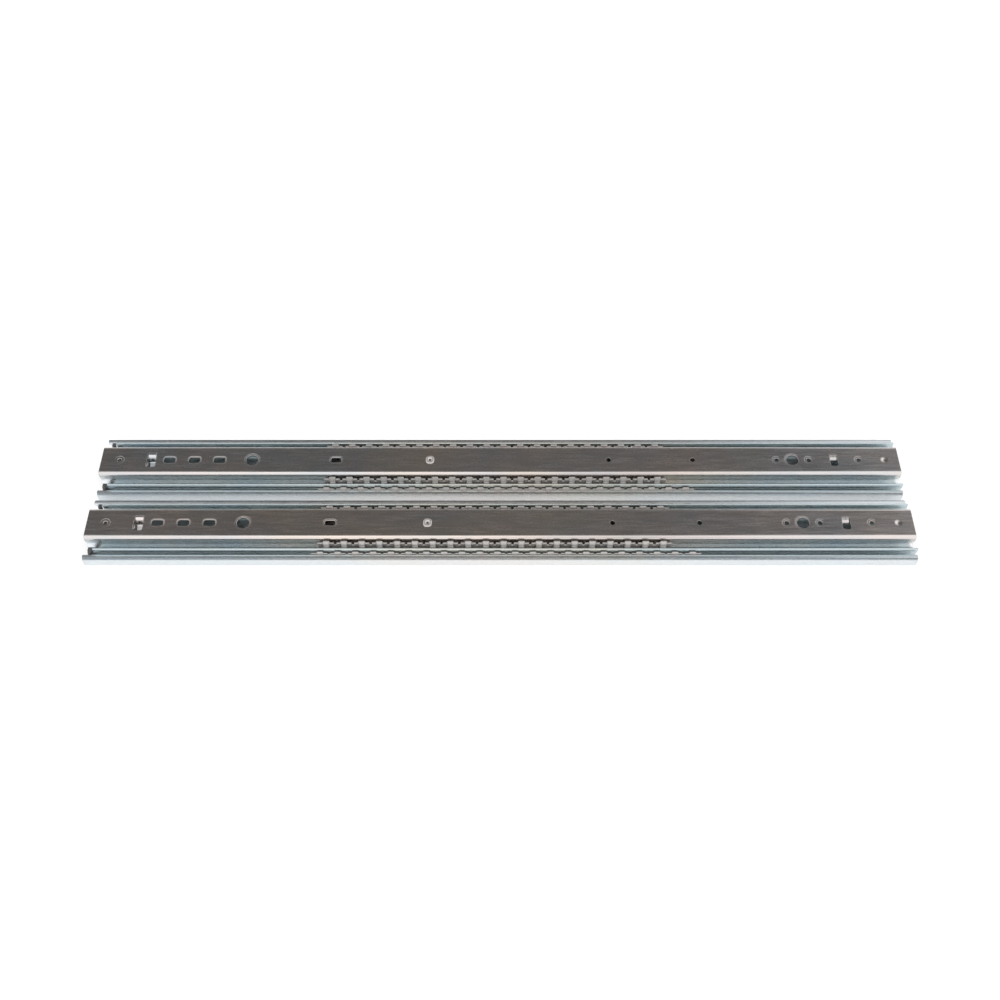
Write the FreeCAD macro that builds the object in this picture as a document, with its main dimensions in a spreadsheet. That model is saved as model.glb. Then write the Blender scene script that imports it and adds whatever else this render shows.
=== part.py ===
import FreeCAD, Part
import itertools
import math
import os
import Sketcher
from FreeCAD import Placement, Rotation, Vector

# A pair of three-section ball-bearing server rails, closed and lying side by side.
# X runs along the rails and points the way they extend, Y across them, Z up.
# The origin is on the floor, under the middle of the pair.

SIZES = {
    # Overall
    "slide_length": 609.6,
    "slide_width": 53.0,
    "slide_height": 19.0,
    "slide_gap": 4.75,
    "middle_rear_set": 7.8,
    "inner_end_set": 0.8,
    # Sheet thicknesses and the gap between sheets that pass over each other
    "outer_sheet": 1.6,
    "middle_sheet": 1.5,
    "inner_sheet": 1.8,
    "cage_sheet": 0.7,
    "sheet_gap": 0.4,
    # Ball races
    "outer_ball": 5.0,
    "inner_ball": 6.0,
    "outer_ball_height": 6.9,
    "inner_ball_height": 11.0,
    "ball_spacing": 12.95,
    "race_gap": 0.3,
    "wall_slack": 0.1,
    # Bends and lips of the rolled sections, bend radii on the inside of the sheet
    "outer_bend": 2.2,
    "outer_lip_angle": 40.0,
    "outer_lip_run": 3.0,
    "middle_bend": 1.25,
    "middle_lip_height": 14.7,
    "inner_bend": 0.8,
    "inner_groove_depth": 0.95,
    "inner_lip_angle": 35.0,
    "inner_lip_run": 2.4,
    # Ball cages
    "inner_cage_place": -3.8,
    "window_gap": 0.15,
    "window_lean": 20.0,
    "outer_tower_rise": 0.8,
    "inner_tower_rise": 2.3,
    "tower_slope": 1.4,
    "valley_drop": 0.5,
    # Inner web: stations measured from its rear end, and sets measured back from its front
    "rear_hole_station": 14.0,
    "tongue_station": 38.3,
    "slot_station": 52.2,
    "slot_pitch": 19.05,
    "rear_access_station": 115.1,
    "lone_slot_station": 179.1,
    "rivet_station": 250.7,
    "hole_pitch": 64.0,
    "third_hole_set": 93.3,
    "front_access_set": 81.2,
    "guide_hole_set": 68.7,
    "hook_set": 49.6,
    "front_hole_set": 30.7,
    "dimple_set": 11.2,
    "plain_hole": 3.8,
    "rimmed_hole": 3.2,
    "rim_width": 0.8,
    "access_hole": 9.2,
    "slot_length": 9.5,
    "slot_width": 5.5,
    "tongue_opening": 13.0,
    "tongue_width": 7.0,
    "tongue_run": 1.0,
    "tongue_lean": 32.0,
    "tongue_depth": 6.2,
    "hook_opening": 11.5,
    "hook_width": 6.0,
    "hook_run": 2.6,
    "hook_lean": 90.0,
    "hook_depth": 3.0,
    "lance_bend": 1.2,
    "lance_kerf": 0.5,
    "dimple_width": 6.0,
    "dimple_depth": 0.9,
    # Middle and outer webs
    "middle_access_length": 16.0,
    "middle_access_width": 12.0,
    "mounting_hole": 5.2,
    "stop_gap": 0.3,
    "stop_lug_set": 5.05,
    "stop_lug_width": 12.0,
    "stop_lug_length": 2.5,
    "front_tab_width": 12.0,
    "front_tab_height": 9.4,
    "rear_tab_set": 6.45,
    "rear_tab_width": 9.0,
    "rear_tab_drop": 1.2,
    # Rivets
    "rivet_head": 6.4,
    "rivet_head_height": 0.8,
    "rivet_head_taper": 35.0,
    "rivet_shank": 3.0,
    "rivet_tail": 5.2,
    "rivet_tail_height": 0.8,
    "closing_stop_head": 9.0,
    "closing_stop_height": 14.5,
    "closing_stop_shank": 4.0,
    # Rear bumper
    "bumper_side_gap": 3.1,
    "bumper_post_width": 7.0,
    "bumper_post_height": 12.6,
    "bumper_wall": 2.6,
    "bumper_base_length": 7.0,
    "bumper_base_height": 3.2,
}

doc = FreeCAD.newDocument("server_rail_pair")
sheet = doc.addObject("Spreadsheet::Sheet", "Sizes")
for row, (alias, number) in enumerate(SIZES.items(), start=1):
    sheet.set(f"A{row}", alias)
    sheet.set(f"B{row}", str(number))
    sheet.setAlias(f"B{row}", alias)
doc.recompute()


def size(alias):
    """A driving dimension, read back from the sheet."""
    return float(sheet.get(alias))


def value(expression):
    """The number that an expression on the sheet works out to."""
    return float(sheet.evalExpression(expression))


# Heights of the stacked webs, from the floor up

outer_cage_floor = size("outer_sheet") + size("sheet_gap")
middle_web_floor = outer_cage_floor + size("cage_sheet") + size("sheet_gap")
middle_web_top = middle_web_floor + size("middle_sheet")
inner_cage_floor = middle_web_top + size("sheet_gap")
inner_web_floor = size("slide_height") - size("inner_sheet")

# Sizes that follow the slide's: each stage travels half its length, and a cage half of that

SLIDE_PITCH = "(Sizes.slide_width + Sizes.slide_gap)"
STAGE_TRAVEL = "(Sizes.slide_length / 2)"
MIDDLE_LENGTH = "(Sizes.slide_length - Sizes.middle_rear_set)"
INNER_LENGTH = "(Sizes.slide_length - 2 * Sizes.inner_end_set)"
outer_front = size("slide_length") / 2
middle_rear = outer_front - value(MIDDLE_LENGTH)
inner_rear = -value(INNER_LENGTH) / 2
cage_travel = value(STAGE_TRAVEL) / 2

# At full travel the outer cage fills the room between the middle member's rear tab and
# the outer member's lug, and the inner cage has two balls fewer on each side.

tab_face = middle_rear + size("rear_tab_set")
lug_face = outer_front - size("stop_lug_set")
cage_room = lug_face - tab_face - 2 * size("stop_gap") - value(STAGE_TRAVEL)
outer_count = math.floor(cage_room / size("ball_spacing") + 1e-6)
ball_counts = {"outer": outer_count, "inner": outer_count - 2}
outer_cage_rear = tab_face + cage_travel + size("stop_gap")
inner_cage_rear = size("inner_cage_place") - ball_counts["inner"] * size("ball_spacing") / 2
cage_rears = {"outer": outer_cage_rear, "inner": inner_cage_rear}

# Features of the inner web, measured from its rear end

STATIONS = {
    "rear_hole": "Sizes.rear_hole_station",
    "tongue": "Sizes.tongue_station",
    "first_slot": "Sizes.slot_station",
    "rear_access": "Sizes.rear_access_station",
    "lone_slot": "Sizes.lone_slot_station",
    "rivet": "Sizes.rivet_station",
}
for feature in ("third_hole", "front_access", "guide_hole", "hook", "front_hole", "dimple"):
    STATIONS[feature] = f"({INNER_LENGTH} - Sizes.{feature}_set)"

# The outer row of balls lies in the outer member's groove. The middle member's wall
# passes between the two rows, so the inner row stands one wall further in.

outer_ball_y = size("slide_width") / 2 - size("outer_sheet") - size("race_gap") - size("outer_ball") / 2
row_distance = (
    (size("outer_ball") + size("inner_ball")) / 2
    + size("middle_sheet")
    + 2 * size("race_gap")
    + size("wall_slack")
)
row_rise = size("inner_ball_height") - size("outer_ball_height")
inner_ball_y = outer_ball_y - math.sqrt(row_distance**2 - row_rise**2)

UP = math.pi / 2
ACROSS = 0.0
BACK_ACROSS = math.pi
DOWN = -math.pi / 2
LEFT_TURN = 1
RIGHT_TURN = -1


def left_of(heading):
    """Unit normal on the left of a heading in the section plane."""
    return Vector(-math.sin(heading), math.cos(heading), 0)


def along(heading):
    """Unit vector along a heading in the section plane."""
    return Vector(math.cos(heading), math.sin(heading), 0)


def tangent_heading(first, second):
    """Heading of the straight run that leaves one roller and meets the next."""
    across = second["centre"] - first["centre"]
    shift = second["turn"] * second["radius"] - first["turn"] * first["radius"]
    run = math.sqrt(across.Length**2 - shift**2)
    return math.atan2(across.y, across.x) - math.atan2(shift, run)


def roller(centre_y, centre_z, radius, turn):
    """A circle that the middle of the sheet wraps, and the way it turns there."""
    return {"centre": Vector(centre_y, centre_z, 0), "radius": radius, "turn": turn}


def strip_outline(start, heading, rollers, last_heading, last_run, thickness):
    """Closed outline of a sheet that is bent round rollers, as lines and arcs.

    The sheet starts at a point with a heading, wraps each roller in turn with a straight
    run between them, leaves the last one at last_heading and ends after last_run.
    """
    headings = [heading]
    for first, second in zip(rollers, rollers[1:]):
        headings.append(tangent_heading(first, second))
    headings.append(last_heading)
    outline = []
    ends = []
    for side in (thickness / 2, -thickness / 2):
        here = start + left_of(heading) * side
        ends.append(here)
        for bend, turn_in, turn_out in zip(rollers, headings, headings[1:]):
            reach = bend["turn"] * bend["radius"] - side
            entry = bend["centre"] - left_of(turn_in) * reach
            leave = bend["centre"] - left_of(turn_out) * reach
            outline.append(Part.LineSegment(here, entry))
            circle = Part.Circle(bend["centre"], Vector(0, 0, 1), abs(reach))
            quarter = -bend["turn"] * math.pi / 2
            angles = sorted((turn_in + quarter, turn_out + quarter))
            outline.append(Part.ArcOfCircle(circle, *angles))
            here = leave
        tip = here + along(last_heading) * last_run
        outline.append(Part.LineSegment(here, tip))
        ends.append(tip)
    outline.append(Part.LineSegment(ends[0], ends[2]))
    outline.append(Part.LineSegment(ends[1], ends[3]))
    return outline


def closed_polygon(points):
    """Lines that join the points in order and close on the first."""
    corners = [Vector(x, y, 0) for x, y in points]
    return [Part.LineSegment(a, b) for a, b in zip(corners, corners[1:] + corners[:1])]


def rectangle(low_x, low_y, high_x, high_y):
    """Outline of a rectangle from its low and high corners."""
    return closed_polygon([(low_x, low_y), (high_x, low_y), (high_x, high_y), (low_x, high_y)])


def octagon(centre_x, flats):
    """Outline of an octagon on the sketch's X axis, measured across its flats."""
    radius = flats / 2 / math.cos(math.pi / 8)
    points = []
    for step in range(8):
        angle = math.pi / 8 + step * math.pi / 4
        points.append((centre_x + radius * math.cos(angle), radius * math.sin(angle)))
    return closed_polygon(points)


def obround(centre_x, length, width):
    """Outline of a slot with round ends along the sketch's X axis."""
    radius = width / 2
    reach = length / 2 - radius
    pieces = []
    for sign in (1, -1):
        start = Vector(centre_x - sign * reach, -sign * radius, 0)
        end = Vector(centre_x + sign * reach, -sign * radius, 0)
        pieces.append(Part.LineSegment(start, end))
        tip = Part.Circle(Vector(centre_x + sign * reach, 0, 0), Vector(0, 0, 1), radius)
        middle_angle = 0 if sign == 1 else math.pi
        pieces.append(Part.ArcOfCircle(tip, middle_angle - math.pi / 2, middle_angle + math.pi / 2))
    return pieces


def add_body(label, side):
    """An empty body on the centre line of the near slide (side -1) or the far one (side 1)."""
    body = doc.addObject("PartDesign::Body", label)
    body.Label = label
    body.setExpression("Placement.Base.y", f"{side} * {SLIDE_PITCH} / 2")
    return body


def add_sketch(body, name, plane, geometry=(), offset="0", shift="0"):
    """A sketch on one of its body's own planes, moved off it by expressions on the sheet."""
    sketch = body.newObject("Sketcher::SketchObject", f"{body.Label}_{name}")
    origin_plane = next(part for part in body.Origin.OriginFeatures if part.Role == plane)
    sketch.AttachmentSupport = (origin_plane, [""])
    sketch.MapMode = "FlatFace"
    sketch.setExpression("AttachmentOffset.Base.z", offset)
    sketch.setExpression("AttachmentOffset.Base.x", shift)
    if geometry:
        sketch.addGeometry(list(geometry), False)
        sketch.detectMissingPointOnPointConstraints(1e-4)
        sketch.makeMissingPointOnPointCoincident()
    return sketch


def add_round_hole(sketch, station, diameter):
    """A circle on the sketch's X axis, its place and size bound to the sheet."""
    place = value(station)
    across = value(diameter)
    index = sketch.addGeometry(Part.Circle(Vector(place, 0, 0), Vector(0, 0, 1), across / 2), False)
    sketch.addConstraint(Sketcher.Constraint("PointOnObject", index, 3, -1))
    distance = sketch.addConstraint(Sketcher.Constraint("DistanceX", -1, 1, index, 3, place))
    sketch.setExpression(f"Constraints[{distance}]", station)
    width = sketch.addConstraint(Sketcher.Constraint("Diameter", index, across))
    sketch.setExpression(f"Constraints[{width}]", diameter)


def add_pad(body, sketch, name, length):
    """Pads a sketch along its normal by an expression on the sheet."""
    pad = body.newObject("PartDesign::Pad", f"{body.Label}_{name}")
    pad.Profile = sketch
    pad.setExpression("Length", length)
    doc.recompute()
    return pad


def add_mirrored(body, feature, plane):
    """Mirrors a feature about one of its body's own planes."""
    mirrored = body.newObject("PartDesign::Mirrored", f"{body.Label}_mirrored")
    origin_plane = next(part for part in body.Origin.OriginFeatures if part.Role == plane)
    mirrored.MirrorPlane = (origin_plane, [""])
    mirrored.Originals = [feature]
    body.Tip = mirrored
    doc.recompute()
    return mirrored


def add_pocket(body, sketch, name):
    """Cuts a sketch through everything on both sides of it."""
    before = body.Shape.Volume
    pocket = body.newObject("PartDesign::Pocket", f"{body.Label}_{name}")
    pocket.Profile = sketch
    pocket.Type = "ThroughAll"
    pocket.Midplane = True
    doc.recompute()
    if body.Shape.Volume >= before:
        raise RuntimeError(f"{pocket.Name} cuts nothing")
    return pocket


def add_recess(body, sketch, name, depth):
    """Cuts a sketch down into the body by an expression on the sheet."""
    before = body.Shape.Volume
    recess = body.newObject("PartDesign::Pocket", f"{body.Label}_{name}")
    recess.Profile = sketch
    recess.setExpression("Length", depth)
    doc.recompute()
    if body.Shape.Volume >= before:
        raise RuntimeError(f"{recess.Name} cuts nothing")
    return recess


def add_pattern(body, feature, plane, count, length):
    """Repeats a feature along the normal of one of its body's own planes."""
    pattern = body.newObject("PartDesign::LinearPattern", f"{body.Label}_pattern")
    axis = next(part for part in body.Origin.OriginFeatures if part.Role == plane)
    pattern.Direction = (axis, [""])
    pattern.Originals = [feature]
    pattern.setExpression("Length", length)
    pattern.setExpression("Occurrences", count)
    body.Tip = pattern
    doc.recompute()
    return pattern


def add_rims(body, feature, places, level):
    """Chamfers the upper edge of the round holes at places along a web whose top is at level."""
    edges = []
    for number, edge in enumerate(feature.Shape.Edges, start=1):
        if not isinstance(edge.Curve, Part.Circle) or abs(edge.CenterOfMass.z - level) > 1e-3:
            continue
        if any(abs(edge.Curve.Center.x - place) < 1e-3 for place in places):
            edges.append(f"Edge{number}")
    chamfer = body.newObject("PartDesign::Chamfer", f"{body.Label}_rims")
    chamfer.Base = (feature, edges)
    chamfer.setExpression("Size", "Sizes.rim_width")
    body.Tip = chamfer
    doc.recompute()
    return chamfer


def inner_place(feature):
    """Where a feature of the inner web is, as an expression from the middle of the slide."""
    return f"({STATIONS[feature]} - {INNER_LENGTH} / 2)"


def add_member(label, side, outline, rear, length):
    """A rolled member: half its section, padded to length and mirrored to the other side."""
    body = add_body(label, side)
    section = add_sketch(body, "section", "YZ_Plane", outline, offset=rear)
    half = add_pad(body, section, "half", length)
    add_mirrored(body, half, "XZ_Plane")
    return body


def build_outer_member(label, side):
    """Outer member: fixed to the rack by its web, its curled flanges hold the outer balls."""
    thickness = size("outer_sheet")
    groove = size("outer_ball") / 2 + size("race_gap") + thickness / 2
    bend = size("outer_bend") + thickness / 2
    wall_y = outer_ball_y + groove
    rollers = [
        roller(wall_y - bend, thickness / 2 + bend, bend, LEFT_TURN),
        roller(outer_ball_y, size("outer_ball_height"), groove, LEFT_TURN),
    ]
    lip_heading = UP + math.radians(size("outer_lip_angle"))
    start = Vector(0, thickness / 2, 0)
    outline = strip_outline(start, ACROSS, rollers, lip_heading, size("outer_lip_run"), thickness)
    body = add_member(label, side, outline, "-Sizes.slide_length / 2", "Sizes.slide_length")

    # Screw holes under the access holes of the inner web
    holes = add_sketch(body, "holes", "XY_Plane", shift="-Sizes.slide_length / 2")
    for feature in ("rear_access", "front_access"):
        add_round_hole(holes, f"{inner_place(feature)} + Sizes.slide_length / 2", "Sizes.mounting_hole")
    add_pocket(body, holes, "hole_cut")

    # Low lug across the front of the web, which stops the outer cage at full travel
    half_lug = size("stop_lug_width") / 2
    lug_outline = rectangle(lug_face, -half_lug, lug_face + size("stop_lug_length"), half_lug)
    lug = add_sketch(body, "lug", "XY_Plane", lug_outline)
    add_pad(body, lug, "stop_lug", str(middle_web_floor - size("sheet_gap")))
    return body


def build_middle_member(label, side):
    """Middle member: its S-shaped walls pass between the outer and the inner row of balls."""
    thickness = size("middle_sheet")
    outer_groove = size("outer_ball") / 2 + size("race_gap") + thickness / 2
    inner_groove = size("inner_ball") / 2 + size("race_gap") + thickness / 2
    bend = size("middle_bend") + thickness / 2
    wall_y = outer_ball_y - outer_groove
    web_middle = middle_web_floor + thickness / 2
    rollers = [
        roller(wall_y - bend, web_middle + bend, bend, LEFT_TURN),
        roller(outer_ball_y, size("outer_ball_height"), outer_groove, RIGHT_TURN),
        roller(inner_ball_y, size("inner_ball_height"), inner_groove, LEFT_TURN),
    ]
    lip_run = size("middle_lip_height") - size("inner_ball_height")
    start = Vector(0, web_middle, 0)
    outline = strip_outline(start, ACROSS, rollers, UP, lip_run, thickness)
    rear = f"Sizes.slide_length / 2 - {MIDDLE_LENGTH}"
    body = add_member(label, side, outline, rear, MIDDLE_LENGTH)

    # Access openings, the hole of the closing stop and the hole that the rear tab leaves
    tab_length = size("rear_tab_drop") + thickness
    half_tab = size("rear_tab_width") / 2
    half_long = size("middle_access_length") / 2
    half_wide = size("middle_access_width") / 2
    holes = add_sketch(body, "holes", "XY_Plane")
    for feature in ("rear_access", "front_access"):
        place = value(inner_place(feature))
        opening = rectangle(place - half_long, -half_wide, place + half_long, half_wide)
        holes.addGeometry(opening, False)
    stop_x = value(closing_stop_place())
    holes.addGeometry(octagon(stop_x, size("closing_stop_shank")), False)
    holes.addGeometry(rectangle(tab_face, -half_tab, tab_face + tab_length, half_tab), False)
    add_pocket(body, holes, "hole_cut")

    # Rear tab, bent down from the web in front of its hole: it carries the outer cage's end
    tab_outline = rectangle(
        tab_face - thickness, middle_web_floor - size("rear_tab_drop"), tab_face, middle_web_top
    )
    tab = add_sketch(body, "rear_tab", "XZ_Plane", tab_outline, offset="-Sizes.rear_tab_width / 2")
    add_pad(body, tab, "rear_stop", "Sizes.rear_tab_width")

    # Front tab, the end of the web bent up, which keeps the inner cage in
    bend_mid = size("middle_bend") + thickness / 2
    tab_mid = outer_front - thickness / 2
    bend_centre = roller(tab_mid - bend_mid, web_middle + bend_mid, bend_mid, LEFT_TURN)
    tab_start = Vector(tab_mid - 2 * bend_mid, web_middle, 0)
    tab_run = size("front_tab_height") - web_middle - bend_mid
    front_outline = strip_outline(tab_start, ACROSS, [bend_centre], UP, tab_run, thickness)
    front = add_sketch(body, "front_tab", "XZ_Plane", front_outline, offset="-Sizes.front_tab_width / 2")
    add_pad(body, front, "front_stop", "Sizes.front_tab_width")
    return body


def closing_stop_place():
    """Centre of the closing stop, just behind the inner member's rear tongue when closed."""
    return (
        f"({inner_place('tongue')} - {lance_width('tongue')} / 2"
        " - Sizes.stop_gap - Sizes.closing_stop_head / 2)"
    )


def lance_width(name):
    """Width of a lance along the rail, a kerf narrower on both sides than its opening."""
    return f"(Sizes.{name}_width - 2 * Sizes.lance_kerf)"


def add_lance(body, name):
    """A tongue or hook cut from the inner web, leaning down from the far end of its opening."""
    thickness = size("inner_sheet")
    bend = size("lance_bend") + thickness / 2
    web_middle = size("slide_height") - thickness / 2
    lean = math.radians(size(f"{name}_lean"))
    hinge_y = size(f"{name}_opening") / 2
    bend_y = hinge_y - size(f"{name}_run")
    start = Vector(hinge_y + thickness / 2, web_middle, 0)
    turn = roller(bend_y, web_middle - bend, bend, LEFT_TURN)
    bend_end = web_middle - bend * (1 - math.cos(lean))
    foot_middle = inner_web_floor - size(f"{name}_depth") + thickness / 2 * math.cos(lean)
    run = (bend_end - foot_middle) / math.sin(lean)
    outline = strip_outline(start, BACK_ACROSS, [turn], BACK_ACROSS + lean, run, thickness)
    rear = f"{inner_place(name)} - {lance_width(name)} / 2"
    sketch = add_sketch(body, f"{name}_bend", "YZ_Plane", outline, offset=rear)
    add_pad(body, sketch, name, lance_width(name))


def build_inner_member(label, side):
    """Inner member: carries the equipment by its web, grooved outside for the inner balls."""
    thickness = size("inner_sheet")
    groove = size("inner_ball") / 2 + size("race_gap") + thickness / 2
    bend = size("inner_bend") + thickness / 2
    groove_bottom = inner_ball_y - size("inner_ball") / 2 - size("race_gap")
    flange_middle = groove_bottom + size("inner_groove_depth") - thickness / 2
    web_middle = size("slide_height") - thickness / 2
    rollers = [
        roller(flange_middle - bend, web_middle - bend, bend, RIGHT_TURN),
        roller(inner_ball_y, size("inner_ball_height"), groove, LEFT_TURN),
    ]
    lip_heading = DOWN + math.radians(size("inner_lip_angle"))
    start = Vector(0, web_middle, 0)
    outline = strip_outline(start, ACROSS, rollers, lip_heading, size("inner_lip_run"), thickness)
    rear = f"-{INNER_LENGTH} / 2"
    body = add_member(label, side, outline, rear, INNER_LENGTH)

    # Plain and rimmed holes, access holes, slots, and the openings of the two lances
    holes = add_sketch(body, "holes", "XY_Plane", shift=rear)
    rimmed = ("rear_hole", "third_hole", "guide_hole", "front_hole")
    for feature in rimmed:
        add_round_hole(holes, STATIONS[feature], "Sizes.rimmed_hole")
    for feature in ("rear_access", "front_access"):
        add_round_hole(holes, STATIONS[feature], "Sizes.access_hole")
    for step in (1, 2):
        place = f"{STATIONS['third_hole']} - {step} * Sizes.hole_pitch"
        add_round_hole(holes, place, "Sizes.plain_hole")
    holes.addGeometry(octagon(value(STATIONS["rivet"]), size("rivet_shank")), False)
    slot_places = [value(STATIONS["first_slot"]) + step * size("slot_pitch") for step in range(3)]
    for place in slot_places + [value(STATIONS["lone_slot"])]:
        holes.addGeometry(obround(place, size("slot_length"), size("slot_width")), False)
    for name in ("tongue", "hook"):
        half_long = size(f"{name}_opening") / 2
        half_wide = size(f"{name}_width") / 2
        place = value(STATIONS[name])
        opening = rectangle(place - half_wide, -half_long, place + half_wide, half_long)
        holes.addGeometry(opening, False)
    pocket = add_pocket(body, holes, "hole_cut")
    rim_places = [value(inner_place(feature)) for feature in rimmed]
    add_rims(body, pocket, rim_places, size("slide_height"))

    add_lance(body, "tongue")
    add_lance(body, "hook")

    # Dimple near the front end, a shallow round recess
    recess = add_sketch(body, "recess", "XY_Plane", offset="Sizes.slide_height", shift=rear)
    add_round_hole(recess, STATIONS["dimple"], "Sizes.dimple_width")
    add_recess(body, recess, "dimple", "Sizes.dimple_depth")
    return body


def build_cage(label, side, row):
    """Ball cage: a U of thin sheet whose flanges rise in a slotted tower at each ball."""
    thickness = size("cage_sheet")
    ball_radius = size(f"{row}_ball") / 2
    ball_height = size(f"{row}_ball_height")
    flange_y, floor = cage_seat(row)
    count = str(ball_counts[row])
    rear = str(cage_rears[row])
    tower_top = ball_height + ball_radius + size(f"{row}_tower_rise")
    valley = ball_height - size("valley_drop")
    outline = closed_polygon(
        [
            (0, floor),
            (flange_y + thickness / 2, floor),
            (flange_y + thickness / 2, tower_top),
            (flange_y - thickness / 2, tower_top),
            (flange_y - thickness / 2, floor + thickness),
            (0, floor + thickness),
        ]
    )
    body = add_member(label, side, outline, rear, f"{count} * Sizes.ball_spacing")

    # One unit of the flange: a window whose walls lean in over the ball and are open at
    # the top, and the valley after its tower
    clear = tower_top + thickness
    lean = math.radians(size("window_lean"))
    reach = ball_radius + size("window_gap")
    window_floor = ball_height - reach
    floor_half = reach * (1 + math.sin(lean)) / math.cos(lean)
    clear_half = (reach - (clear - ball_height) * math.sin(lean)) / math.cos(lean)
    centre = size("ball_spacing") / 2
    window = closed_polygon(
        [
            (centre - clear_half, clear),
            (centre - floor_half, window_floor),
            (centre + floor_half, window_floor),
            (centre + clear_half, clear),
        ]
    )
    foot_half = ball_radius + size("tower_slope")
    top_half = ball_radius - size("tower_slope") / (tower_top - valley) * thickness
    next_centre = centre + size("ball_spacing")
    dip = closed_polygon(
        [
            (centre + foot_half, valley),
            (centre + top_half, clear),
            (next_centre - top_half, clear),
            (next_centre - foot_half, valley),
        ]
    )
    first_dip = closed_polygon(
        [
            (-thickness, valley),
            (-thickness, clear),
            (centre - top_half, clear),
            (centre - foot_half, valley),
        ]
    )
    end = add_sketch(body, "rear_valley", "XZ_Plane", first_dip, shift=rear)
    add_pocket(body, end, "rear_valley_cut")
    unit = add_sketch(body, "unit", "XZ_Plane", window + dip, shift=rear)
    cut = add_pocket(body, unit, "unit_cut")
    add_pattern(body, cut, "YZ_Plane", count, f"({count} - 1) * Sizes.ball_spacing")
    return body


def cage_seat(row):
    """Middle of a cage's flange across the slide, and the height of its underside."""
    if row == "outer":
        return outer_ball_y, outer_cage_floor
    return inner_ball_y, inner_cage_floor


def faceted_ball(radius):
    """A ball with eight flat faces, its corners where the round ball meets its races."""
    axes = (Vector(radius, 0, 0), Vector(0, radius, 0), Vector(0, 0, radius))
    axis_ends = [(axis * -1, axis) for axis in axes]
    faces = [Part.Face(Part.makePolygon([*trio, trio[0]])) for trio in itertools.product(*axis_ends)]
    solid = Part.makeSolid(Part.makeShell(faces))
    if solid.Volume < 0:
        solid.reverse()
    return solid


def build_balls(label, side, row):
    """The two rows of balls of one cage, one ball at the middle of each window."""
    across, _ = cage_seat(row)
    pitch = size("ball_spacing")
    height = size(f"{row}_ball_height")
    first = cage_rears[row] + pitch / 2
    master = faceted_ball(size(f"{row}_ball") / 2)
    balls = []
    for row_side, number in itertools.product((-1, 1), range(ball_counts[row])):
        ball = master.copy()
        ball.translate(Vector(first + number * pitch, row_side * across, height))
        balls.append(ball)
    feature = doc.addObject("Part::Feature", label)
    feature.Label = label
    feature.Shape = Part.makeCompound(balls)
    feature.Placement = Placement(Vector(0, side * value(SLIDE_PITCH) / 2, 0), Rotation())
    return feature


def build_web_rivet(label, side):
    """Rivet set through the inner web: a low tapered head above and its tail below."""
    web_floor = "(Sizes.slide_height - Sizes.inner_sheet)"
    steps = [
        ("tail", "rivet_tail", f"{web_floor} - Sizes.rivet_tail_height", "Sizes.rivet_tail_height"),
        ("shank", "rivet_shank", web_floor, "Sizes.inner_sheet"),
        ("head", "rivet_head", "Sizes.slide_height", "Sizes.rivet_head_height"),
    ]
    body = build_rivet(label, side, inner_place("rivet"), steps)
    body.Tip.TaperAngle = -size("rivet_head_taper")
    return body


def build_closing_stop(label, side):
    """Shouldered rivet on the middle web that the inner member's tongue rests against."""
    floor = str(middle_web_floor)
    top = str(middle_web_top)
    steps = [
        ("shank", "closing_stop_shank", floor, "Sizes.middle_sheet"),
        ("head", "closing_stop_head", top, f"Sizes.closing_stop_height - {top}"),
    ]
    return build_rivet(label, side, closing_stop_place(), steps)


def build_rivet(label, side, place, steps):
    """Eight-sided rivet built up from steps of a name, width across flats, floor and height."""
    body = add_body(label, side)
    for name, flats, floor, height in steps:
        outline = octagon(0, size(flats))
        sketch = add_sketch(body, f"{name}_outline", "XY_Plane", outline, offset=floor, shift=place)
        add_pad(body, sketch, name, height)
    return body


def build_rear_bumper(label, side):
    """Rubber bumper at the rear of the outer member, with a post behind each middle wall."""
    body = add_body(label, side)
    half = size("slide_width") / 2 - size("outer_sheet") - size("bumper_side_gap")
    inside = half - size("bumper_post_width")
    floor = size("outer_sheet")
    base_top = floor + size("bumper_base_height")
    corner = size("outer_bend")
    wall_outline = closed_polygon(
        [
            (-half + corner, floor),
            (half - corner, floor),
            (half, floor + corner),
            (half, size("bumper_post_height")),
            (inside, size("bumper_post_height")),
            (inside, base_top),
            (-inside, base_top),
            (-inside, size("bumper_post_height")),
            (-half, size("bumper_post_height")),
            (-half, floor + corner),
        ]
    )
    front = f"(Sizes.slide_length / 2 - {MIDDLE_LENGTH} - Sizes.stop_gap)"
    wall_rear = f"{front} - Sizes.bumper_wall"
    wall = add_sketch(body, "wall_outline", "YZ_Plane", wall_outline, offset=wall_rear)
    add_pad(body, wall, "wall", "Sizes.bumper_wall")
    base_outline = rectangle(-inside, floor, inside, base_top)
    base_rear = f"{front} - Sizes.bumper_base_length"
    base = add_sketch(body, "base_outline", "YZ_Plane", base_outline, offset=base_rear)
    add_pad(body, base, "base", "Sizes.bumper_base_length")
    return body


parts = []
for slide, slide_side in (("near", -1), ("far", 1)):
    parts.append(build_outer_member(f"{slide}_outer_member", slide_side))
    parts.append(build_middle_member(f"{slide}_middle_member", slide_side))
    parts.append(build_inner_member(f"{slide}_inner_member", slide_side))
    parts.append(build_cage(f"{slide}_outer_cage", slide_side, "outer"))
    parts.append(build_cage(f"{slide}_inner_cage", slide_side, "inner"))
    parts.append(build_balls(f"{slide}_outer_balls", slide_side, "outer"))
    parts.append(build_balls(f"{slide}_inner_balls", slide_side, "inner"))
    parts.append(build_web_rivet(f"{slide}_web_rivet", slide_side))
    parts.append(build_closing_stop(f"{slide}_closing_stop", slide_side))
    parts.append(build_rear_bumper(f"{slide}_rear_bumper", slide_side))
doc.recompute()

for item in doc.Objects:
    if "Invalid" in item.State or "Error" in item.State:
        raise RuntimeError(f"{item.Name} did not build: {item.State}")

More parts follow.
